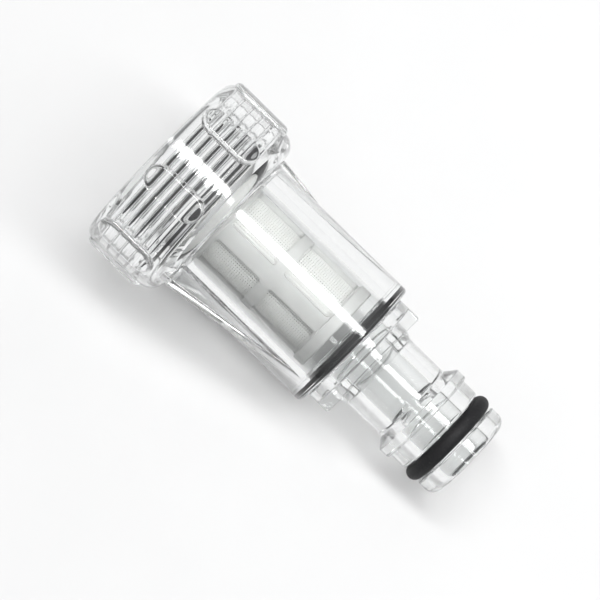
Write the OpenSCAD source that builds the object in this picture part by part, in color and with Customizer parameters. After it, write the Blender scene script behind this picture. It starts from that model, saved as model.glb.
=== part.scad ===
// Inline water filter: a clear housing with a G 3/4 female thread, a washable filter
// cartridge that lifts out through the thread, and a hose-coupling spigot that swivels
// in the far end of the housing.
// Frame: the flow axis runs along +X from the threaded mouth to the nose of the spigot,
// +Z is up, and the origin is on the flow axis, halfway along the full thread ahead of the
// washer. All in mm.
// Places along the axis are given from the threaded mouth, and from_mouth() moves them.

/* [Collar] */
// Diameter of the collar between its grip pads
collar_d = 31.6; // [30.5:0.1:34]
// Length of the collar along the flow axis
collar_l = 14.1; // [14:0.1:18]
// Number of grip pads round the collar
pad_count = 8; // [6:1:10]
// Height of a grip pad above the collar
pad_h = 0.8; // [0.4:0.1:1.2]
// Width of a grip pad across its rounded ends
pad_w = 4.8; // [3:0.1:6]
// Length of a grip pad along the flow axis
pad_l = 10.5; // [7:0.1:10.8]

/* [Thread] */
// Minor diameter of the G 3/4 female thread, which the plain bore stands for
thread_minor_d = 24.12; // [24.12:0.01:24.4]
// Major diameter of the G 3/4 female thread, which the mouth chamfer clears
thread_major_d = 26.44; // [26.2:0.01:26.6]
// Depth of the threaded socket, from the mouth to its floor
thread_l = 12.8; // [11:0.1:12.8]

/* [Body] */
// Outer diameter of the clear body
body_d = 23.2; // [22:0.1:25]
// Bore of the body round the cartridge
bore_d = 16.0; // [15.8:0.1:16.2]
// Where the body ends, from the threaded mouth
body_end = 41.0; // [40.5:0.1:44]
// Thickness of the two wings
wing_t = 1.8; // [1.2:0.1:2.4]
// Angle of the wings above and below the horizontal
wing_clock = 22.5; // [0:0.5:45]

/* [Cartridge] */
// Outer diameter of the filter cage
cage_d = 14.0; // [13:0.1:14.4]
// Wall of the filter cage
cage_wall = 0.8; // [0.6:0.1:1]
// Number of window columns round the cage
window_columns = 4; // [3:1:6]
// Width of a rib between two window columns
rib_w = 2.5; // [1.5:0.1:3.5]
// Thickness of the mesh sleeve
mesh_t = 0.16; // [0.1:0.02:0.3]

/* [Spigot] */
// Outer diameter of the flange behind the seam
flange_d = 19.8; // [18.5:0.1:21]
// Diameter of the neck that the coupling grips
neck_d = 13.4; // [13:0.1:13.8]
// Diameter of the latch collar
latch_d = 16.8; // [16.5:0.1:17.2]
// Diameter of the nose that enters the coupling
nose_d = 15.8; // [15.5:0.1:16]
// Water passage through the spigot
passage_d = 8.4; // [7:0.1:9]
// Turn of the spigot in the housing as it is drawn
spigot_clock = 13.8; // [0:0.1:360]

/* [Seals] */
// Section of the seam O-ring
seam_section = 1.46; // [1.4:0.02:1.5]
// Section of the nose O-ring
nose_section = 2.5; // [2.3:0.05:2.6]
// Thickness of the flat washer
washer_t = 3.0; // [1.5:0.1:3.5]

/* [Hidden] */
$fn = 96;

// overlap of shapes that are joined, and reach of shapes that are cut away
join = 0.2;
past = 1;

// collar
collar_r = collar_d / 2;
collar_front_round = 1.7;
collar_rear_round = 3.0;
pad_start = 1.0;
pad_top_r = collar_r + pad_h;

// threaded socket, from the mouth inwards
thread_r = thread_minor_d / 2;
mouth_r = thread_major_d / 2 + 0.2;
mouth_chamfer = mouth_r - thread_r;
floor_x = thread_l;
cage_flange_t = 1.4;
cage_flange_x = floor_x - cage_flange_t;
washer_x = cage_flange_x - washer_t;

// pocket round the washer and the cage's flange, where the thread's crests are cut back
pocket_x = washer_x - 0.1;
pocket_r = thread_r + 0.3;
socket_mid = (mouth_chamfer + pocket_x) / 2;

// body
body_r = body_d / 2;
body_round = 0.6;
bore_r = bore_d / 2;
seat_l = 2.4;
seat_x = body_end - seat_l;
seat_r = bore_r + 0.2;
seat_lead = 0.25;

// snap groove that holds the spigot while it turns
snap_h = 0.16;
snap_w = 0.3;
snap_clear = 0.06;
snap_x = seat_x + 0.12;

// wings
wing_root_x = collar_l - 1;
wing_crest = collar_r - 0.3;
wing_inner = bore_r + 1.5;

// cage
cage_r = cage_d / 2;
cage_in_r = cage_r - cage_wall;
cage_flange_r = thread_r - 0.26;
cage_guide_r = bore_r - 0.2;
cage_guide_end = 13.8;
cage_cone_end = 14.8;
window_start = 15.1;
window_end = 35.0;
cage_ring_x = 24.0;
cage_ring_w = 1.8;
cage_cap_x = 35.3;
cage_cap_end = 37.3;
cage_cap_r = bore_r - 0.55;
cage_cap_t = 1.2;

// washer
washer_r = thread_r - 0.16;
washer_in_r = 6.5;
washer_break = 0.25;

// spigot, from the plug to the nose
plug_x = seat_x + 0.08;
plug_r = seat_r - 0.12;
plug_bore_r = 5.6;
flange_x = body_end + 0.1;
flange_r = flange_d / 2;
flange_l = 2.0;
core_x = flange_x + flange_l;
core_r = 7.5;
core_l = 2.0;
lug_w = 4.0;
neck_r = neck_d / 2;
neck_x = core_x + core_l + 1.2;
latch_x = neck_x + 7.0;
latch_r = latch_d / 2;
latch_cone = 1.35;
latch_l = 3.05;
latch_notch_w = 6.0;
shoulder_r = 7.8;
shoulder_x = latch_x + latch_l;
groove_x = shoulder_x + 2.9;
groove_w = 3.0;
nose_x = groove_x + groove_w;
nose_r = nose_d / 2;
nose_l = 3.1;
nose_round = 1.6;
nose_end = nose_x + nose_l;
passage_r = passage_d / 2;
passage_break = 0.3;

// O-rings
seam_x = seat_x + 1.4;
seam_centre_r = seat_r - 0.02 - seam_section / 2;
seam_groove_r = seam_centre_r - seam_section / 2 - 0.02;
seam_groove_w = 1.8;
nose_groove_r = 5.83;
nose_centre_r = nose_groove_r + 0.02 + nose_section / 2;

clear = [0.86, 0.88, 0.88, 0.45];
rubber = [0.06, 0.06, 0.06];
frosted = [0.80, 0.81, 0.79, 0.85];
mesh_grey = [0.62, 0.63, 0.60];

// Puts what is placed from the threaded mouth into the part's frame.
module from_mouth() {
    translate([-socket_mid, 0, 0]) children();
}

// Turns a solid of revolution about Z into one about the flow axis.
module along_flow() {
    rotate([90, 0, 90]) children();
}

// Profile of a disc of radius r from x0 to x1, with rounded corners f0 and f1.
module rounded_profile(r, x0, x1, f0, f1) {
    translate([0, x0 + f0]) square([r, x1 - x0 - f0 - f1]);
    translate([0, x0]) square([r - max(f0, f1), x1 - x0]);
    translate([r - f0, x0 + f0]) circle(r = f0);
    translate([r - f1, x1 - f1]) circle(r = f1);
    translate([0, x0]) square([r - f0, (x1 - x0) / 2]);
    translate([0, (x0 + x1) / 2]) square([r - f1, (x1 - x0) / 2]);
}

// Straight tube cut or disc from x0 to x1 on the flow axis.
module disc(r, x0, x1) {
    along_flow() translate([0, 0, x0]) cylinder(r = r, h = x1 - x0);
}

// Cone on the flow axis, radius r0 at x0 and r1 at x1.
module taper(r0, r1, x0, x1) {
    along_flow() translate([0, 0, x0]) cylinder(r1 = r0, r2 = r1, h = x1 - x0);
}

// Outline of a pad with half-round ends.
module stadium(l, w) {
    square([l - w, w], center = true);
    for (side = [-1, 1]) {
        translate([side * (l - w) / 2, 0]) circle(d = w);
    }
}

// One grip pad, standing on the collar at the top of the part.
module grip_pad() {
    intersection() {
        translate([pad_start + pad_l / 2, 0, collar_r - 2])
            linear_extrude(height = 2 + pad_h + past) stadium(pad_l, pad_w);
        disc(pad_top_r, 0, collar_l);
    }
}

// One wing: a thin gusset that runs from the collar down to the body.
module wing() {
    linear_extrude(height = wing_t, center = true)
        polygon([
            [wing_root_x, wing_inner],
            [wing_root_x, wing_crest],
            [collar_l, wing_crest],
            [seat_x, body_r],
            [seat_x, wing_inner]
        ]);
}

module housing_outside() {
    along_flow() rotate_extrude()
        rounded_profile(collar_r, 0, collar_l, collar_front_round, collar_rear_round);
    along_flow() rotate_extrude()
        rounded_profile(body_r, collar_l - join, body_end, join / 2, body_round);
    for (i = [0 : pad_count - 1]) {
        rotate([i * 360 / pad_count + 180 / pad_count, 0, 0]) grip_pad();
    }
    for (turn = [180 - wing_clock, -wing_clock]) {
        rotate([turn, 0, 0]) wing();
    }
}

module housing() {
    color(clear) from_mouth() difference() {
        housing_outside();
        taper(mouth_r + past, thread_r, -past, mouth_chamfer);
        disc(thread_r, -past, floor_x);
        disc(pocket_r, pocket_x, floor_x);
        disc(bore_r, floor_x - past, body_end + past);
        disc(seat_r, seat_x, body_end + past);
        disc(seat_r + snap_h, snap_x, snap_x + snap_w + 2 * snap_clear);
        taper(seat_r, seat_r + seat_lead + past, body_end - seat_lead, body_end + past);
    }
}

module thread_washer() {
    color(rubber) from_mouth() along_flow() translate([0, 0, washer_x]) rotate_extrude()
        polygon([
            [washer_in_r, 0],
            [washer_r - washer_break, 0],
            [washer_r, washer_break],
            [washer_r, washer_t - washer_break],
            [washer_r - washer_break, washer_t],
            [washer_in_r, washer_t]
        ]);
}

// One window in the cage wall, between two ribs, from x0 to x1.
module cage_window(x0, x1) {
    half = (360 / window_columns) / 2;
    reach = cage_r * 1.6;
    difference() {
        translate([x0, 0, 0]) rotate([90, 0, 90]) linear_extrude(height = x1 - x0)
            polygon([[0, 0], [reach * sin(half), reach * cos(half)], [0, reach * 1.4],
                     [-reach * sin(half), reach * cos(half)]]);
        for (side = [-1, 1]) {
            rotate([side * half, 0, 0]) translate([x0 - past, -rib_w / 2, -past])
                cube([x1 - x0 + 2 * past, rib_w, reach * 2]);
        }
    }
}

module filter_cage() {
    step = 360 / window_columns;
    color(frosted) from_mouth() difference() {
        along_flow() rotate_extrude() polygon([
            [cage_in_r, cage_flange_x],
            [cage_flange_r, cage_flange_x],
            [cage_flange_r, floor_x],
            [cage_guide_r, floor_x],
            [cage_guide_r, cage_guide_end],
            [cage_r, cage_cone_end],
            [cage_r, cage_cap_x],
            [cage_cap_r, cage_cap_x],
            [cage_cap_r, cage_cap_end],
            [0, cage_cap_end],
            [0, cage_cap_end - cage_cap_t],
            [cage_in_r, cage_cap_end - cage_cap_t]
        ]);
        for (i = [0 : window_columns - 1]) {
            rotate([(i + 0.5) * step + wing_clock, 0, 0]) {
                cage_window(window_start, cage_ring_x);
                cage_window(cage_ring_x + cage_ring_w, window_end);
            }
        }
    }
}

module filter_mesh() {
    color(mesh_grey) from_mouth() difference() {
        disc(cage_in_r, cage_guide_end, cage_cap_x);
        disc(cage_in_r - mesh_t, cage_guide_end - past, cage_cap_x + past);
    }
}

module spigot_outside() {
    disc(plug_r, plug_x, flange_x + join);
    disc(seat_r + snap_h - snap_clear, snap_x + snap_clear, snap_x + snap_clear + snap_w);
    disc(flange_r, flange_x, core_x);
    disc(core_r, core_x - join, core_x + core_l);
    intersection() {
        disc(flange_r, core_x - join, core_x + core_l);
        translate([core_x - join, -flange_r, -lug_w / 2]) cube([core_l + join, 2 * flange_r, lug_w]);
    }
    taper(core_r - 0.2, neck_r, core_x + core_l, neck_x);
    disc(neck_r, core_x, latch_x + join);
    difference() {
        taper(neck_r, latch_r, latch_x, latch_x + latch_cone);
        for (side = [-1, 1]) {
            translate([latch_x - past, -latch_notch_w / 2, side * (neck_r + past) - past])
                cube([latch_cone + past, latch_notch_w, 2 * past]);
        }
    }
    disc(latch_r, latch_x + latch_cone, shoulder_x);
    disc(shoulder_r, latch_x + latch_cone, groove_x);
    disc(nose_groove_r, groove_x - join, nose_x + join);
    along_flow() rotate_extrude() rounded_profile(nose_r, nose_x, nose_end, join, nose_round);
}

module spigot_adapter() {
    color(clear) from_mouth() rotate([spigot_clock, 0, 0]) difference() {
        spigot_outside();
        difference() {
            disc(plug_r + past, seam_x - seam_groove_w / 2, seam_x + seam_groove_w / 2);
            disc(seam_groove_r, plug_x, flange_x);
        }
        disc(plug_bore_r, plug_x - past, core_x);
        disc(passage_r, core_x - past, nose_end + past);
        taper(passage_r, passage_r + passage_break + past, nose_end - passage_break, nose_end + past);
    }
}

// O-ring of a round section, lying across the flow axis at x.
module o_ring(x, centre_r, section) {
    color(rubber) from_mouth() along_flow() translate([0, 0, x]) rotate_extrude()
        translate([centre_r, 0]) circle(d = section);
}

module seam_oring() {
    o_ring(seam_x, seam_centre_r, seam_section);
}

module spigot_oring() {
    o_ring(groove_x + groove_w / 2, nose_centre_r, nose_section);
}

housing();
thread_washer();
filter_cage();
filter_mesh();
spigot_adapter();
seam_oring();
spigot_oring();
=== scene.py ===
"""Looks for the inline water filter: a clear threaded housing, a lift-out filter cartridge and a
swivelling clear spigot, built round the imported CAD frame.

Places along the flow axis are given in millimetres from the threaded mouth, as the CAD source
gives them, and `metres()` moves them into the frame. Angles turn from +Y towards +Z.
"""

import math

import bmesh
import bpy
import numpy as np
from mathutils import Matrix, Vector


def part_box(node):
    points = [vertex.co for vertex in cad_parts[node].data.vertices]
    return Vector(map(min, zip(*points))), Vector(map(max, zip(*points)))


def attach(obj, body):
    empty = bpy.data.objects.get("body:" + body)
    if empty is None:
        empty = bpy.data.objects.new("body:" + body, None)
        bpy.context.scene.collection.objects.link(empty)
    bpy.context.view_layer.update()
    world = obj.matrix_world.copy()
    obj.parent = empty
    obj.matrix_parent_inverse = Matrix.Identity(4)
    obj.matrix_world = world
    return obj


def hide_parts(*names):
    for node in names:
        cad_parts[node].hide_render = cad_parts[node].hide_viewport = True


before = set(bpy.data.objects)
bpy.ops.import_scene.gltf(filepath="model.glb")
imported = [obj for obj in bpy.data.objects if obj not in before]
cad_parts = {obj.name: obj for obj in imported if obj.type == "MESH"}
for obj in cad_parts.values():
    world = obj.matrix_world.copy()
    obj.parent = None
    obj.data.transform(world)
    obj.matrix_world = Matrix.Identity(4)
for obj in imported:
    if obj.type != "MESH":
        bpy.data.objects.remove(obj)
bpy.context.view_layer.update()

MM = 0.001
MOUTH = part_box("housing")[0].x
BODY_END = (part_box("housing")[1].x - MOUTH) / MM
NOSE_END = (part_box("spigot_adapter")[1].x - MOUTH) / MM
SEGMENTS = 288
ARC_STEP = math.radians(11)
SHARP_EDGE = 30

# housing
COLLAR_R = 15.8
COLLAR_END = 14.1
BODY_R = 11.6
BORE_R = 8.0
FLOOR_X = 12.8
SEAT_X = BODY_END - 2.4
SEAT_R = 8.2
SEAT_LEAD = 0.25
SNAP_DEPTH = 0.16
PAD_COUNT = 8
PAD_TOP_R = 16.6
PAD_START = 1.0
PAD_L = 10.5
PAD_W = 4.8
PAD_RIM = 0.72
WING_T = 1.8
WING_ROOT = 1.0
WING_REACH = 0.6
WING_CREST = 15.5
WING_ANGLES = (157.5, -22.5)

# G 3/4 thread, Whitworth form
PITCH = 25.4 / 14
THREAD_MINOR_R = 12.06
THREAD_DEPTH = 1.162
THREAD_HALF_ANGLE = math.radians(27.5)
THREAD_TIP_R = 0.1373 * PITCH
THREAD_START = 0.04
THREAD_TURNS = 6
THREAD_RUN_OUT = 0.3
THREAD_TURN = -92.0
MOUTH_R = 13.42
POCKET_R = THREAD_MINOR_R + 0.3
POCKET_EASE = 0.6

# cartridge
FLANGE_X = FLOOR_X - 1.4
FLANGE_GAP = 0.06
CAGE_FLANGE_R = 11.8
WASHER_X = FLANGE_X - 3.0
WASHER_R = 11.9
WASHER_IN_R = 6.5
POCKET_X = WASHER_X - 0.1
GUIDE_R = 7.8
GUIDE_END = 13.8
CAGE_R = 7.0
CAGE_IN_R = 6.2
CAP_X = 35.3
CAP_END = 37.3
CAP_R = 7.45
CAP_T = 1.2
RIB_W = 2.5
WINDOW_COLUMNS = 4
WINDOW_CLOCK = 112.5
WINDOWS = ((15.1, 24.0), (25.8, 35.0))
MESH_R = 6.12
MESH_WIRE = 0.07
MESH_WIRE_W = 0.19
MESH_WIRES = 96
MESH_HOOPS = 54
MESH_X = (13.9, 35.2)

# spigot
SPIGOT_CLOCK = 13.8
PLUG_X = SEAT_X + 0.08
PLUG_R = 8.08
PLUG_BORE_R = 5.6
FLANGE_BACK = BODY_END + 0.1
FLANGE_FRONT = BODY_END + 2.1
FLANGE_R = 9.9
CORE_END = BODY_END + 4.1
CORE_R = 7.5
LUG_FRONT = 42.6
LUG_BACK = 45.1
NECK_X = BODY_END + 5.3
NECK_R = 6.7
LATCH_X = 53.3
LATCH_CONE_END = LATCH_X + 1.35
LATCH_END = LATCH_X + 3.05
LATCH_R = 8.4
SHOULDER_R = 7.8
NOSE_GROOVE_X = LATCH_X + 5.95
NOSE_GROOVE_R = 5.83
NOSE_X = LATCH_X + 8.95
NOSE_R = 7.9
PASSAGE_R = 4.2
PASSAGE_BREAK = 0.3

# O-rings
SEAM_X = SEAT_X + 1.4
SEAM_GROOVE_R = 6.7
SEAM_GROOVE_W = 1.8
SEAM_CLEAR = 0.02
SEAM_SQUEEZE = 0.02
NOSE_RING_X = 60.75
NOSE_RING_CENTRE_R = 7.1


def metres(points):
    """Points in millimetres from the mouth as an array in the frame's metres."""
    return np.asarray(points, float) * MM + np.array([MOUTH, 0.0, 0.0])


# ---------------------------------------------------------------- mesh helpers


def mesh_object(name, verts, faces, sharp=SHARP_EDGE):
    """A mesh piece from points in millimetres, closed, facing outwards and shaded by angle."""
    mesh = bpy.data.meshes.new(name)
    mesh.from_pydata(metres(verts).tolist(), [], faces)
    tidy(mesh)
    shade(mesh, sharp)
    piece = bpy.data.objects.new(name, mesh)
    bpy.context.scene.collection.objects.link(piece)
    return piece


def tidy(mesh):
    """Merges doubled points and turns every face outwards."""
    work = bmesh.new()
    work.from_mesh(mesh)
    bmesh.ops.remove_doubles(work, verts=work.verts, dist=0.0005 * MM)
    bmesh.ops.recalc_face_normals(work, faces=work.faces)
    work.to_mesh(mesh)
    work.free()


def shade(mesh, sharp):
    """Smooth shading, with an edge where two faces meet at more than sharp degrees."""
    mesh.shade_smooth()
    mesh.set_sharp_from_angle(angle=math.radians(sharp))


def rounded(corners):
    """A closed outline of (x, r) points from corners (x, r) or (x, r, fillet), fillets as arcs."""
    outline = []
    count = len(corners)
    for i, corner in enumerate(corners):
        here = np.array(corner[:2], float)
        fillet = corner[2] if len(corner) > 2 else 0.0
        if not fillet:
            outline.append(tuple(here))
            continue
        to_last = np.array(corners[i - 1][:2], float) - here
        to_next = np.array(corners[(i + 1) % count][:2], float) - here
        to_last /= np.linalg.norm(to_last)
        to_next /= np.linalg.norm(to_next)
        half = math.acos(np.clip(to_last @ to_next, -1, 1)) / 2
        middle = to_last + to_next
        middle /= np.linalg.norm(middle)
        centre = here + middle * fillet / math.sin(half)
        sweep = math.pi - 2 * half
        steps = max(2, math.ceil(sweep / ARC_STEP))
        start = here + to_last * fillet / math.tan(half) - centre
        turn = np.sign(to_last[0] * to_next[1] - to_last[1] * to_next[0])
        for k in range(steps + 1):
            angle = -turn * sweep * k / steps
            cos, sin = math.cos(angle), math.sin(angle)
            outline.append(
                (
                    centre[0] + start[0] * cos - start[1] * sin,
                    centre[1] + start[0] * sin + start[1] * cos,
                )
            )
    return outline


def ring_points(x, r):
    """Points round the flow axis at x and radius r."""
    a = np.arange(SEGMENTS) * math.tau / SEGMENTS
    return np.stack([np.full(SEGMENTS, x), r * np.cos(a), r * np.sin(a)], 1)


def lathe(name, outline, sharp=SHARP_EDGE):
    """A closed outline turned about the flow axis."""
    verts = np.concatenate([ring_points(x, r) for x, r in outline])
    faces = []
    rows = len(outline)
    for k in range(rows):
        a, b = k * SEGMENTS, (k + 1) % rows * SEGMENTS
        for i in range(SEGMENTS):
            j = (i + 1) % SEGMENTS
            faces.append((a + i, a + j, b + j, b + i))
    return mesh_object(name, verts, faces, sharp)


def about_axis(verts, angle_deg):
    """Points drawn with +Z outwards, turned so that outwards is angle_deg."""
    a = math.radians(angle_deg - 90)
    y, z = verts[:, 1].copy(), verts[:, 2].copy()
    turned = verts.copy()
    turned[:, 1] = y * math.cos(a) - z * math.sin(a)
    turned[:, 2] = y * math.sin(a) + z * math.cos(a)
    return turned


def stacked(rings):
    """Faces of a closed solid from equal rings of points, the first and last closed as one face."""
    n = len(rings[0])
    faces = [tuple(range(n))[::-1]]
    for k in range(len(rings) - 1):
        for i in range(n):
            j = (i + 1) % n
            faces.append((k * n + i, k * n + j, (k + 1) * n + j, (k + 1) * n + i))
    faces.append(tuple(range((len(rings) - 1) * n, len(rings) * n)))
    return np.concatenate(rings), faces


def joined(name, solids):
    """Several (verts, faces) solids as one mesh piece."""
    verts, faces, start = [], [], 0
    for solid_verts, solid_faces in solids:
        verts.append(solid_verts)
        faces.extend(tuple(v + start for v in f) for f in solid_faces)
        start += len(solid_verts)
    return mesh_object(name, np.concatenate(verts), faces)


def combine(base, tool, operation):
    """Adds tool to base, or cuts it away, as an exact solid, and removes tool."""
    step = base.modifiers.new("combine", "BOOLEAN")
    step.operation = operation
    step.solver = "MANIFOLD"
    step.object = tool
    bpy.context.view_layer.update()
    shown = base.evaluated_get(bpy.context.evaluated_depsgraph_get())
    made = bpy.data.meshes.new_from_object(shown)
    base.modifiers.clear()
    old, base.data = base.data, made
    bpy.data.meshes.remove(old)
    bpy.data.objects.remove(tool)
    tidy(base.data)
    shade(base.data, SHARP_EDGE)
    return base


# ---------------------------------------------------------------- housing


def flank(start, end):
    """The two rows close to the ends of a straight flank."""
    return [tuple(a + (b - a) * share for a, b in zip(start, end)) for share in (0.06, 0.94)]


def thread_rows():
    """One pitch of the thread as (x, depth) steps: crest arc, flank, root arc, flank.

    Two rows close to each flank's ends keep its middle flat where it is shaded smooth.
    """
    arc = math.pi / 2 - THREAD_HALF_ANGLE
    steps = 8
    crest, root = [], []
    for k in range(steps + 1):
        a = -arc + 2 * arc * k / steps
        x, depth = THREAD_TIP_R * math.sin(a), THREAD_TIP_R * (1 - math.cos(a))
        crest.append((x, depth))
        root.append((PITCH / 2 + x, THREAD_DEPTH - depth))
    next_crest = (crest[0][0] + PITCH, crest[0][1])
    rows = crest + flank(crest[-1], root[0]) + root + flank(root[-1], next_crest)
    first = rows[0][0]
    return [(x - first, depth) for x, depth in rows]


def ease(t):
    """A smooth step from 0 to 1 as t goes from 0 to 1."""
    t = min(1.0, max(0.0, t))
    return t * t * (3 - 2 * t)


def socket_radius(x, depth):
    """Radius of the threaded socket's wall, cut by the mouth's chamfer and the washer's pocket."""
    cut_back = ease((x - POCKET_X) / POCKET_EASE) * (POCKET_R - THREAD_MINOR_R)
    return max(MOUTH_R - x, THREAD_MINOR_R + max(depth, cut_back))


def socket_columns(end_x, steps):
    """For each column round the axis, its points (x, r) from the mouth to end_x.

    The rows follow a right-handed helix: column i stands i / SEGMENTS of a pitch further in. The
    groove fades in and out over the run-out. The first and last few rows even the steps out.
    """
    rows = thread_rows()
    columns = []
    for i in range(SEGMENTS):
        share = i / SEGMENTS
        first = THREAD_START + PITCH * share
        last = first + PITCH * THREAD_TURNS
        column = [(first * k / steps, 0.0) for k in range(steps)]
        for turn in range(THREAD_TURNS):
            place = turn + share
            fade_in = ease(place / THREAD_RUN_OUT)
            fade_out = ease((THREAD_TURNS - place) / THREAD_RUN_OUT)
            strength = fade_in * fade_out
            column += [(first + PITCH * turn + x, depth * strength) for x, depth in rows]
        column += [(last + (end_x - last) * k / steps, 0.0) for k in range(steps + 1)]
        columns.append([(x, socket_radius(x, depth)) for x, depth in column])
    return columns


def threaded_solid(name, outline, columns, shift, steps):
    """A lathed outline, open between its last and first points, closed by the socket's columns.

    shift is the number of rows in a turn: the last column's rows meet the first column's rows
    that lie shift further in. steps is the number of evening rows at each end.
    """
    angles = np.arange(SEGMENTS) * math.tau / SEGMENTS + math.radians(THREAD_TURN)
    cos, sin = np.cos(angles), np.sin(angles)
    verts = []
    for x, r in outline:
        verts.extend(zip([x] * SEGMENTS, r * cos, r * sin))
    for row in zip(*columns):
        verts.extend((x, r * c, r * s) for (x, r), c, s in zip(row, cos, sin))
    total = len(outline) + len(columns[0])
    first_row, last_row = len(outline), total - 1
    wrap = SEGMENTS - 1

    def at(row, column):
        return row % total * SEGMENTS + column % SEGMENTS

    def quad(row, column, ahead=0):
        return (
            at(row, column),
            at(row + ahead, column + 1),
            at(row + 1 + ahead, column + 1),
            at(row + 1, column),
        )

    faces = []
    for row in range(total):
        inside = first_row <= row < last_row
        faces += [quad(row, column) for column in range(wrap if inside else SEGMENTS)]
    low, high = first_row + steps, last_row - steps
    faces += [quad(row, wrap, shift) for row in range(low, high - shift)]
    faces.append(
        [at(row, 0) for row in range(first_row, low + shift + 1)]
        + [at(row, wrap) for row in range(low, first_row - 1, -1)]
    )
    faces.append(
        [at(row, wrap) for row in range(last_row, high - shift - 1, -1)]
        + [at(row, 0) for row in range(high, last_row + 1)]
    )
    return mesh_object(name, verts, faces)


def pad_solid(angle_deg):
    """A grip pad with half-round ends and a softly rounded rim, on the collar."""
    samples = 14
    centre = PAD_START + PAD_L / 2
    straight = (PAD_L - PAD_W) / 2

    def ring(inset, level):
        points = []
        for side in (1, -1):
            for k in range(samples + 1):
                a = math.pi * (k / samples - side / 2)
                x = centre + side * straight + (PAD_W / 2 - inset) * math.cos(a)
                w = (PAD_W / 2 - inset) * math.sin(a)
                points.append((x, w, math.sqrt(level**2 - w**2)))
        return np.array(points)

    rings = [ring(0, COLLAR_R - 1.2), ring(0, PAD_TOP_R - PAD_RIM)]
    steps = 6
    for k in range(1, steps + 1):
        a = math.pi / 2 * k / steps
        rings.append(ring(PAD_RIM * (1 - math.cos(a)), PAD_TOP_R - PAD_RIM * (1 - math.sin(a))))
    # the pad's top follows the collar's curve, so it has rings of its own towards the middle
    for inset in (1.1, 1.5, 1.9, 2.2, 2.35):
        rings.append(ring(inset, PAD_TOP_R))
    verts, faces = stacked(rings)
    return about_axis(verts, angle_deg), faces


def wing_solid(angle_deg):
    """A thin gusset from the collar down to the body, with a rounded crest."""
    edge = 0.4
    inner = BORE_R + 1.5
    slope = (WING_CREST - BODY_R) / (SEAT_X - COLLAR_END)
    stations = (
        (COLLAR_END - WING_ROOT, WING_CREST),
        (COLLAR_END, WING_CREST),
        (SEAT_X + WING_REACH, BODY_R - WING_REACH * slope),
    )
    rings = []
    for x, crest in stations:
        side = []
        steps = 5
        for k in range(steps + 1):
            a = math.pi / 2 * k / steps
            side.append((WING_T / 2 - edge * (1 - math.cos(a)), crest - edge * (1 - math.sin(a))))
        left = [(-WING_T / 2, inner)] + [(-w, r) for w, r in side]
        right = side[::-1] + [(WING_T / 2, inner)]
        rings.append(np.array([(x, w, r) for w, r in left + right]))
    verts, faces = stacked(rings)
    return about_axis(verts, angle_deg), faces


def build_housing():
    """Clear housing: threaded collar with pads, body with two wings, and the seat for the spigot."""
    snap_low, snap_high, snap_r = SEAT_X + 0.12, SEAT_X + 0.54, SEAT_R + SNAP_DEPTH
    floor_gap = 0.03
    outline = rounded(
        [
            (0.0, MOUTH_R),
            (0.0, COLLAR_R, 1.7),
            (COLLAR_END, COLLAR_R, 3.0),
            (COLLAR_END, BODY_R, 0.8),
            (BODY_END, BODY_R, 0.6),
            (BODY_END, SEAT_R + SEAT_LEAD, 0.08),
            (BODY_END - SEAT_LEAD, SEAT_R, 0.08),
            (snap_high, SEAT_R, 0.04),
            (snap_high, snap_r, 0.04),
            (snap_low, snap_r, 0.04),
            (snap_low, SEAT_R),
            (SEAT_X, SEAT_R),
            (SEAT_X, BORE_R),
            (FLOOR_X, BORE_R, 0.25),
            (FLOOR_X, POCKET_R),
        ]
    )
    # the outline is open between its last point, inside, and its first, at the mouth
    steps = 8
    columns = socket_columns(FLOOR_X - floor_gap, steps)
    shift = len(thread_rows())
    piece = threaded_solid("clear_housing", outline[::-1], columns, shift, steps)
    solids = [pad_solid((i + 0.5) * 360 / PAD_COUNT) for i in range(PAD_COUNT)]
    solids += [wing_solid(a) for a in WING_ANGLES]
    return combine(piece, joined("grips", solids), "UNION")


# ---------------------------------------------------------------- spigot


def lug_solid(angle_deg):
    """A key lug behind the flange, curved on its outer end and softened along its back edge."""
    width, inner, edge, soft = 4.0, 6.9, 0.22, 0.07
    bevel = 0.25
    rings = []
    for w, inset in (
        (-width / 2, edge),
        (-width / 2 + edge * 0.3, edge * 0.3),
        (-width / 2 + edge, 0),
        (0, 0),
        (width / 2 - edge, 0),
        (width / 2 - edge * 0.3, edge * 0.3),
        (width / 2, edge),
    ):
        top = math.sqrt((FLANGE_R - inset) ** 2 - w**2)
        rings.append(
            np.array(
                [
                    (LUG_FRONT, w, inner),
                    (LUG_FRONT, w, top),
                    (LUG_BACK - inset - bevel, w, top),
                    (LUG_BACK - inset - soft, w, top - soft),
                    (LUG_BACK - inset, w, top - bevel),
                    (LUG_BACK - inset, w, inner),
                ]
            )
        )
    verts, faces = stacked(rings)
    return about_axis(verts, angle_deg), faces


def notch_solid(angle_deg):
    """What is cut from the latch cone: a box over a flat at the neck's radius."""
    half, low, high = 3.0, NECK_R, 9.6
    ring = [(-half, low), (half, low), (half, high), (-half, high)]
    rings = [np.array([(x, w, z) for w, z in ring]) for x in (LATCH_X - 1, LATCH_CONE_END)]
    verts, faces = stacked(rings)
    return about_axis(verts, angle_deg), faces


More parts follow.
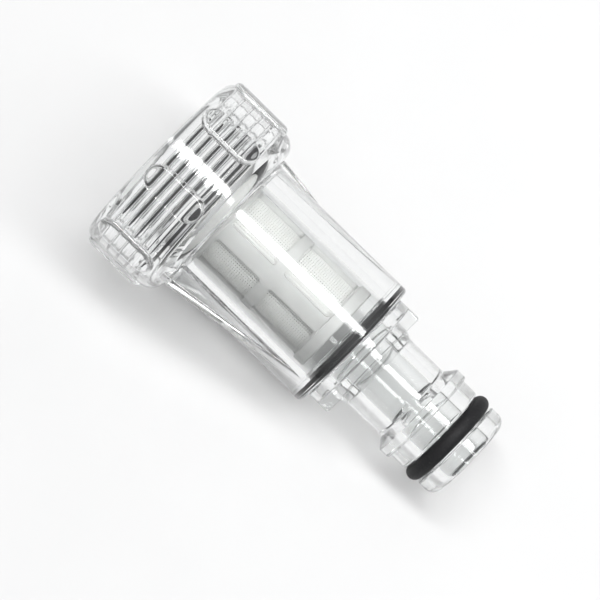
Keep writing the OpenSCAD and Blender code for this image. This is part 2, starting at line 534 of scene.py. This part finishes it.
def build_spigot():
    """Clear spigot: plug with snap bead and seal groove, flange, neck, latch collar and nose."""
    bead_x, bead_w, bead_r, slope = PLUG_X + 0.1, 0.25, SEAT_R + 0.1, 0.03
    outline = rounded(
        [
            (PLUG_X, PLUG_BORE_R, 0.15),
            (PLUG_X, PLUG_R),
            (bead_x, PLUG_R),
            (bead_x + slope, bead_r, 0.04),
            (bead_x + slope + bead_w, bead_r, 0.04),
            (bead_x + 2 * slope + bead_w, PLUG_R),
            (SEAM_X - SEAM_GROOVE_W / 2, PLUG_R),
            (SEAM_X - SEAM_GROOVE_W / 2, SEAM_GROOVE_R, 0.2),
            (SEAM_X + SEAM_GROOVE_W / 2, SEAM_GROOVE_R, 0.2),
            (SEAM_X + SEAM_GROOVE_W / 2, PLUG_R),
            (FLANGE_BACK, PLUG_R, 0.12),
            (FLANGE_BACK, FLANGE_R, 0.3),
            (FLANGE_FRONT, FLANGE_R, 0.3),
            (FLANGE_FRONT, CORE_R, 0.2),
            (CORE_END, CORE_R, 0.15),
            (CORE_END, CORE_R - 0.2),
            (NECK_X, NECK_R, 0.8),
            (LATCH_X, NECK_R, 0.35),
            (LATCH_CONE_END, LATCH_R, 0.15),
            (LATCH_END, LATCH_R, 0.2),
            (LATCH_END, SHOULDER_R, 0.12),
            (NOSE_GROOVE_X, SHOULDER_R, 0.3),
            (NOSE_GROOVE_X, NOSE_GROOVE_R, 0.25),
            (NOSE_X, NOSE_GROOVE_R, 0.25),
            (NOSE_X, NOSE_R, 0.3),
            (NOSE_END, NOSE_R, 1.6),
            (NOSE_END, PASSAGE_R + PASSAGE_BREAK, 0.08),
            (NOSE_END - PASSAGE_BREAK, PASSAGE_R, 0.08),
            (FLANGE_FRONT, PASSAGE_R, 0.3),
            (FLANGE_FRONT, PLUG_BORE_R, 0.3),
        ]
    )
    piece = lathe("clear_spigot", outline)
    lugs = joined("lugs", [lug_solid(SPIGOT_CLOCK), lug_solid(SPIGOT_CLOCK + 180)])
    combine(piece, lugs, "UNION")
    notches = joined("notches", [notch_solid(SPIGOT_CLOCK + 90), notch_solid(SPIGOT_CLOCK + 270)])
    return combine(piece, notches, "DIFFERENCE")


# ---------------------------------------------------------------- cartridge


def window_solid(x0, x1, angle_deg):
    """What is cut from the cage wall for one window, with rounded corners."""
    corner, below, above = 0.5, 1.2, 2.6
    half_step = math.pi / WINDOW_COLUMNS
    rings = []
    for r in (CAGE_IN_R - below, CAGE_R + above):
        # the rib keeps its width, so the window's side is parallel to the rib's middle plane
        half = half_step - math.asin(RIB_W / 2 / r)
        cut = corner / r
        ring = []
        for cx, cw, start in (
            (x1 - corner, half - cut, 0),
            (x0 + corner, half - cut, 90),
            (x0 + corner, -half + cut, 180),
            (x1 - corner, -half + cut, 270),
        ):
            for k in range(5):
                a = math.radians(start + 90 * k / 4)
                ring.append((cx + corner * math.cos(a), cw + cut * math.sin(a)))
        rings.append(np.array([(x, r * math.sin(w), r * math.cos(w)) for x, w in ring]))
    verts, faces = stacked(rings)
    return about_axis(verts, angle_deg), faces


def build_cage():
    """Frosted cartridge cage: flange, guide, windowed tube and closed cap."""
    outline = rounded(
        [
            (FLANGE_X, CAGE_IN_R, 0.2),
            (FLANGE_X, CAGE_FLANGE_R, 0.25),
            (FLOOR_X - FLANGE_GAP, CAGE_FLANGE_R, 0.25),
            (FLOOR_X - FLANGE_GAP, GUIDE_R, 0.1),
            (GUIDE_END, GUIDE_R, 0.15),
            (GUIDE_END + 1.0, CAGE_R, 0.3),
            (CAP_X, CAGE_R, 0.1),
            (CAP_X, CAP_R, 0.12),
            (CAP_END, CAP_R, 0.35),
            (CAP_END, 0.0),
            (CAP_END - CAP_T, 0.0),
            (CAP_END - CAP_T, CAGE_IN_R, 0.3),
        ]
    )
    piece = lathe("filter_cage_frame", outline)
    step = 360 / WINDOW_COLUMNS
    cuts = [
        window_solid(x0, x1, (i + 0.5) * step + WINDOW_CLOCK)
        for i in range(WINDOW_COLUMNS)
        for x0, x1 in WINDOWS
    ]
    return combine(piece, joined("windows", cuts), "DIFFERENCE")


def wire(points, closed, sides=4):
    """A thin flat wire along points, as (verts, faces), with its flat side outwards."""
    corner = 0.7
    points = np.asarray(points)
    count = len(points)
    if closed:
        tangent = np.roll(points, -1, 0) - np.roll(points, 1, 0)
    else:
        tangent = np.gradient(points, axis=0)
    tangent /= np.linalg.norm(tangent, axis=1)[:, None]
    outwards = points * np.array([0, 1, 1])
    outwards /= np.linalg.norm(outwards, axis=1)[:, None]
    across = np.cross(tangent, outwards)
    across /= np.linalg.norm(across, axis=1)[:, None]
    outwards = np.cross(across, tangent)
    rings = []
    for s in range(sides):
        a = math.tau * (s + 0.5) / sides
        rings.append(
            points
            + MESH_WIRE * corner * math.cos(a) * outwards
            + MESH_WIRE_W * corner * math.sin(a) * across
        )
    verts = np.stack(rings, 1).reshape(-1, 3)
    faces = []
    for k in range(count if closed else count - 1):
        a, b = k * sides, (k + 1) % count * sides
        for s in range(sides):
            t = (s + 1) % sides
            faces.append((a + s, a + t, b + t, b + s))
    if not closed:
        faces.append(tuple(range(sides))[::-1])
        faces.append(tuple(range((count - 1) * sides, count * sides)))
    return verts, faces


def build_mesh_sleeve():
    """Woven monofilament sleeve: wires along the axis over and under hoops round it."""
    sway = MESH_WIRE * 0.5
    x0, x1 = MESH_X
    pitch = (x1 - x0) / MESH_HOOPS
    solids = []
    for i in range(MESH_WIRES):
        a = math.tau * i / MESH_WIRES
        points = []
        for k in range(2 * MESH_HOOPS + 1):
            x = x0 + (x1 - x0) * k / (2 * MESH_HOOPS)
            r = MESH_R + sway * math.cos(math.pi * (k / 2 - 0.5 + i))
            points.append((x, r * math.cos(a), r * math.sin(a)))
        solids.append(wire(points, False))
    for h in range(MESH_HOOPS):
        x = x0 + pitch * (h + 0.5)
        points = []
        for k in range(2 * MESH_WIRES):
            a = math.pi * k / MESH_WIRES
            r = MESH_R - sway * math.cos(math.pi * (k / 2 + h))
            points.append((x, r * math.cos(a), r * math.sin(a)))
        solids.append(wire(points, True))
    return joined("woven_mesh_sleeve", solids)


def build_washer():
    """Flat rubber washer with softened edges, just clear of the cage's flange."""
    gap = 0.02
    outline = rounded(
        [
            (WASHER_X + gap, WASHER_IN_R, 0.3),
            (WASHER_X + gap, WASHER_R, 0.35),
            (FLANGE_X - gap, WASHER_R, 0.35),
            (FLANGE_X - gap, WASHER_IN_R, 0.3),
        ]
    )
    return lathe("flat_washer", outline)


# ---------------------------------------------------------------- O-rings


def ring_outline(x, centre_r, half_x, half_r, squareness=2.0, flash=0.0):
    """Section of an O-ring: an ellipse at squareness 2, fuller above. flash raises its equators."""
    points = []
    samples = 40
    for k in range(samples):
        a = math.tau * k / samples
        cos, sin = math.cos(a), math.sin(a)
        power = 2 / squareness
        dx = half_x * math.copysign(abs(cos) ** power, cos)
        dr = half_r * math.copysign(abs(sin) ** power, sin)
        if abs(abs(sin) - 1) < 1e-6:
            dr += math.copysign(flash, sin)
        points.append((x + dx, centre_r + dr))
    return points


def build_seam_ring():
    """Seam O-ring, flattened against the seat, which it overlaps by the squeeze."""
    low, high = SEAM_GROOVE_R + SEAM_CLEAR, SEAT_R + SEAM_SQUEEZE
    outline = ring_outline(SEAM_X, (low + high) / 2, 0.8, (high - low) / 2, 3.0)
    return lathe("seam_seal_ring", outline)


def build_nose_ring():
    """Coupling O-ring in the nose groove."""
    flash = 0.012
    outline = ring_outline(NOSE_RING_X, NOSE_RING_CENTRE_R, 1.25, 1.235, flash=flash)
    return lathe("nose_seal_ring", outline, sharp=60)


# ---------------------------------------------------------------- materials


def material(name):
    """A new material with its nodes, its links and its Principled shader."""
    made = bpy.data.materials.new(name)
    made.use_nodes = True
    nodes, links = made.node_tree.nodes, made.node_tree.links
    return made, nodes, links, nodes["Principled BSDF"]


def noise(nodes, links, scale, **values):
    """A noise texture in object coordinates, so that it rides with its piece."""
    place = nodes.new("ShaderNodeTexCoord")
    made = nodes.new("ShaderNodeTexNoise")
    links.new(place.outputs["Object"], made.inputs["Vector"])
    made.inputs["Scale"].default_value = scale
    for key, value in values.items():
        made.inputs[key].default_value = value
    return made


def spread(nodes, links, source, low, high, start=0.0, end=1.0):
    """Maps a source that runs from start to end on to low to high."""
    made = nodes.new("ShaderNodeMapRange")
    links.new(source, made.inputs["Value"])
    made.inputs["From Min"].default_value = start
    made.inputs["From Max"].default_value = end
    made.inputs["To Min"].default_value = low
    made.inputs["To Max"].default_value = high
    return made.outputs["Result"]


def bump(nodes, links, height, shader, strength, distance):
    """Gives a shader a bump from a height."""
    made = nodes.new("ShaderNodeBump")
    made.inputs["Strength"].default_value = strength
    made.inputs["Distance"].default_value = distance
    links.new(height, made.inputs["Height"])
    links.new(made.outputs["Normal"], shader.inputs["Normal"])


def clear_plastic():
    """Clear polished styrene-like plastic with faint mould flow and fine scuffs."""
    made, nodes, links, shader = material("clear_plastic")
    shader.inputs["Base Color"].default_value = (0.955, 0.965, 0.962, 1)
    shader.inputs["IOR"].default_value = 1.58
    shader.inputs["Transmission Weight"].default_value = 1.0
    scuffs = noise(nodes, links, 900, Detail=4.0, Roughness=0.6)
    rough = spread(nodes, links, scuffs.outputs["Fac"], 0.0, 0.05, 0.45, 0.8)
    links.new(rough, shader.inputs["Roughness"])
    flow = noise(nodes, links, 130, Detail=2.0, Roughness=0.45)
    bump(nodes, links, flow.outputs["Fac"], shader, 0.015, 0.0003)
    # shadow rays pass straight through, dimmed, so that the shadow is clear plastic's
    thin = nodes.new("ShaderNodeBsdfTransparent")
    thin.inputs["Color"].default_value = (0.66, 0.66, 0.66, 1)
    path = nodes.new("ShaderNodeLightPath")
    mix = nodes.new("ShaderNodeMixShader")
    links.new(path.outputs["Is Shadow Ray"], mix.inputs["Fac"])
    links.new(shader.outputs["BSDF"], mix.inputs[1])
    links.new(thin.outputs["BSDF"], mix.inputs[2])
    links.new(mix.outputs["Shader"], nodes["Material Output"].inputs["Surface"])
    return made


def frosted_plastic():
    """Translucent grey-white cage plastic with a satin moulded skin."""
    made, nodes, links, shader = material("frosted_plastic")
    tone = noise(nodes, links, 260, Detail=3.0)
    ramp = nodes.new("ShaderNodeValToRGB")
    ramp.color_ramp.elements[0].position = 0.3
    ramp.color_ramp.elements[0].color = (0.585, 0.588, 0.578, 1)
    ramp.color_ramp.elements[1].position = 0.75
    ramp.color_ramp.elements[1].color = (0.645, 0.648, 0.639, 1)
    links.new(tone.outputs["Fac"], ramp.inputs["Fac"])
    links.new(ramp.outputs["Color"], shader.inputs["Base Color"])
    shader.inputs["Transmission Weight"].default_value = 0.4
    shader.inputs["IOR"].default_value = 1.5
    grain = noise(nodes, links, 4200, Detail=2.0)
    rough = spread(nodes, links, grain.outputs["Fac"], 0.42, 0.6, 0.3, 0.7)
    links.new(rough, shader.inputs["Roughness"])
    bump(nodes, links, grain.outputs["Fac"], shader, 0.25, 0.00003)
    return made


def mesh_nylon():
    """Grey monofilament nylon."""
    made, nodes, links, shader = material("mesh_nylon")
    tone = noise(nodes, links, 700, Detail=2.0)
    ramp = nodes.new("ShaderNodeValToRGB")
    ramp.color_ramp.elements[0].color = (0.60, 0.603, 0.588, 1)
    ramp.color_ramp.elements[1].color = (0.66, 0.663, 0.646, 1)
    links.new(tone.outputs["Fac"], ramp.inputs["Fac"])
    links.new(ramp.outputs["Color"], shader.inputs["Base Color"])
    rough = spread(nodes, links, tone.outputs["Fac"], 0.35, 0.5)
    links.new(rough, shader.inputs["Roughness"])
    return made


def black_rubber():
    """Black nitrile rubber: low sheen, fine grain and a little pale dust."""
    made, nodes, links, shader = material("black_rubber")
    dust = noise(nodes, links, 1500, Detail=5.0, Roughness=0.7)
    ramp = nodes.new("ShaderNodeValToRGB")
    ramp.color_ramp.elements[0].position = 0.55
    ramp.color_ramp.elements[0].color = (0.006, 0.006, 0.007, 1)
    ramp.color_ramp.elements[1].position = 0.85
    ramp.color_ramp.elements[1].color = (0.03, 0.03, 0.03, 1)
    links.new(dust.outputs["Fac"], ramp.inputs["Fac"])
    links.new(ramp.outputs["Color"], shader.inputs["Base Color"])
    grain = noise(nodes, links, 3600, Detail=3.0)
    rough = spread(nodes, links, grain.outputs["Fac"], 0.55, 0.72, 0.3, 0.7)
    links.new(rough, shader.inputs["Roughness"])
    shader.inputs["Specular IOR Level"].default_value = 0.3
    bump(nodes, links, grain.outputs["Fac"], shader, 0.35, 0.00003)
    return made


def floor_finish():
    """Plain pale floor with a hardly visible tooth."""
    made, nodes, links, shader = material("pale_floor")
    tone = noise(nodes, links, 40, Detail=3.0)
    ramp = nodes.new("ShaderNodeValToRGB")
    ramp.color_ramp.elements[0].color = (0.60, 0.60, 0.60, 1)
    ramp.color_ramp.elements[1].color = (0.63, 0.63, 0.63, 1)
    links.new(tone.outputs["Fac"], ramp.inputs["Fac"])
    links.new(ramp.outputs["Color"], shader.inputs["Base Color"])
    shader.inputs["Roughness"].default_value = 0.9
    shader.inputs["Specular IOR Level"].default_value = 0.1
    return made


# ---------------------------------------------------------------- assembly


def fit(piece, node, body, finish):
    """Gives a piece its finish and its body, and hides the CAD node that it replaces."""
    piece.data.materials.clear()
    piece.data.materials.append(finish)
    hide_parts(node)
    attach(piece, body)


clear = clear_plastic()
rubber = black_rubber()
fit(build_housing(), "housing", "housing", clear)
fit(build_spigot(), "spigot_adapter", "spigot", clear)
fit(build_cage(), "filter_cage", "cartridge", frosted_plastic())
fit(build_mesh_sleeve(), "filter_mesh", "cartridge", mesh_nylon())
fit(build_washer(), "thread_washer", "cartridge", rubber)
fit(build_seam_ring(), "seam_oring", "spigot", rubber)
fit(build_nose_ring(), "spigot_oring", "spigot", rubber)

# ---------------------------------------------------------------- camera, floor and light

VIEW_ELEVATION = math.radians(76.2)
VIEW_ROLL = math.radians(44.3)
VIEW_LEAN = math.radians(0.84)
VIEW_DISTANCE = 0.526
VIEW_AIM = Vector((MOUTH + 30.4 * MM, 0, 0))
VIEW_DROP = 0.65 * MM
TOWARDS = Vector((0, -math.cos(VIEW_ELEVATION), math.sin(VIEW_ELEVATION)))
UP = Vector((0, math.sin(VIEW_ELEVATION), math.cos(VIEW_ELEVATION)))
ALONG = Vector((1, 0, 0))

# where the part rests on the floor, by its collar and by its nose
COLLAR_REST = Vector((MOUTH + 10.6 * MM, 0, -15.97 * MM))
NOSE_REST = Vector((MOUTH + 63.8 * MM, 0, -7.9 * MM))

LIGHT_LEAN = math.radians(24)
LIGHT_AIM = Vector((MOUTH + 30 * MM, 0, 0))
OVERHEAD = TOWARDS * math.cos(LIGHT_LEAN) + UP * math.sin(LIGHT_LEAN)


def facing(eye, target, up):
    """The turn of a camera or light at eye that looks at target, with up upwards."""
    back = (eye - target).normalized()
    right = up.cross(back).normalized()
    return Matrix((right, back.cross(right), back)).transposed().to_quaternion()


def add_camera():
    """The camera, nearly over the part, with the flow axis running down to the right."""
    aim = VIEW_AIM - UP * VIEW_DROP
    back = TOWARDS * math.cos(VIEW_LEAN) - ALONG * math.sin(VIEW_LEAN)
    data = bpy.data.cameras.new("camera")
    data.lens = 210
    data.sensor_width = 36
    data.clip_end = 20
    camera = bpy.data.objects.new("camera", data)
    camera.location = aim + back * VIEW_DISTANCE
    camera.rotation_mode = "QUATERNION"
    up = UP * math.cos(VIEW_ROLL) - ALONG * math.sin(VIEW_ROLL)
    camera.rotation_quaternion = facing(camera.location, aim, up)
    bpy.context.scene.collection.objects.link(camera)
    bpy.context.scene.camera = camera


def add_floor():
    """The floor, which tips so that the part rests on its collar and its nose."""
    tip = math.atan2(NOSE_REST.z - COLLAR_REST.z, NOSE_REST.x - COLLAR_REST.x)
    half = 2.0
    data = bpy.data.meshes.new("floor")
    data.from_pydata(
        [(-half, -half, 0), (half, -half, 0), (half, half, 0), (-half, half, 0)], [], [(0, 1, 2, 3)]
    )
    data.materials.append(floor_finish())
    floor = bpy.data.objects.new("floor", data)
    floor.location = COLLAR_REST
    floor.rotation_euler = (0, -tip, 0)
    bpy.context.scene.collection.objects.link(floor)


def add_area(name, distance, size_along, size_across, power):
    """A rectangular softbox overhead that looks at the middle of the part."""
    data = bpy.data.lights.new(name, "AREA")
    data.shape = "RECTANGLE"
    data.size = size_along
    data.size_y = size_across
    data.energy = power
    light = bpy.data.objects.new(name, data)
    back = OVERHEAD.normalized()
    light.location = LIGHT_AIM + back * distance
    light.rotation_mode = "QUATERNION"
    light.rotation_quaternion = facing(light.location, LIGHT_AIM, back.cross(ALONG).normalized())
    bpy.context.scene.collection.objects.link(light)


def add_world():
    """A grey room round the softboxes, and a pale one where the camera sees it directly."""
    world = bpy.data.worlds.new("studio")
    world.use_nodes = True
    nodes, links = world.node_tree.nodes, world.node_tree.links
    nodes.clear()
    room = nodes.new("ShaderNodeBackground")
    place = nodes.new("ShaderNodeTexCoord")
    split = nodes.new("ShaderNodeSeparateXYZ")
    ramp = nodes.new("ShaderNodeValToRGB")
    ramp.color_ramp.elements[0].position = 0.0
    ramp.color_ramp.elements[0].color = (0.22, 0.22, 0.222, 1)
    ramp.color_ramp.elements[1].position = 0.5
    ramp.color_ramp.elements[1].color = (0.62, 0.622, 0.626, 1)
    links.new(place.outputs["Generated"], split.inputs["Vector"])
    links.new(split.outputs["Z"], ramp.inputs["Fac"])
    links.new(ramp.outputs["Color"], room.inputs["Color"])
    pale = nodes.new("ShaderNodeBackground")
    pale.inputs["Color"].default_value = (0.92, 0.92, 0.92, 1)
    path = nodes.new("ShaderNodeLightPath")
    mix = nodes.new("ShaderNodeMixShader")
    out = nodes.new("ShaderNodeOutputWorld")
    links.new(path.outputs["Is Camera Ray"], mix.inputs["Fac"])
    links.new(room.outputs["Background"], mix.inputs[1])
    links.new(pale.outputs["Background"], mix.inputs[2])
    links.new(mix.outputs["Shader"], out.inputs["Surface"])
    bpy.context.scene.world = world


def set_look():
    """Plain colour handling, and enough bounces for light to pass through the clear walls."""
    scene = bpy.context.scene
    scene.view_settings.view_transform = "Standard"
    scene.view_settings.look = "None"
    scene.cycles.max_bounces = 24
    scene.cycles.transmission_bounces = 24
    scene.cycles.glossy_bounces = 12
    scene.cycles.transparent_max_bounces = 24
    scene.cycles.sample_clamp_indirect = 6.0


add_camera()
add_floor()
add_area("softbox", distance=0.6, size_along=0.9, size_across=0.10, power=4.2)
add_area("softbox_skirt", distance=0.61, size_along=0.94, size_across=0.15, power=1.0)
add_world()
set_look()
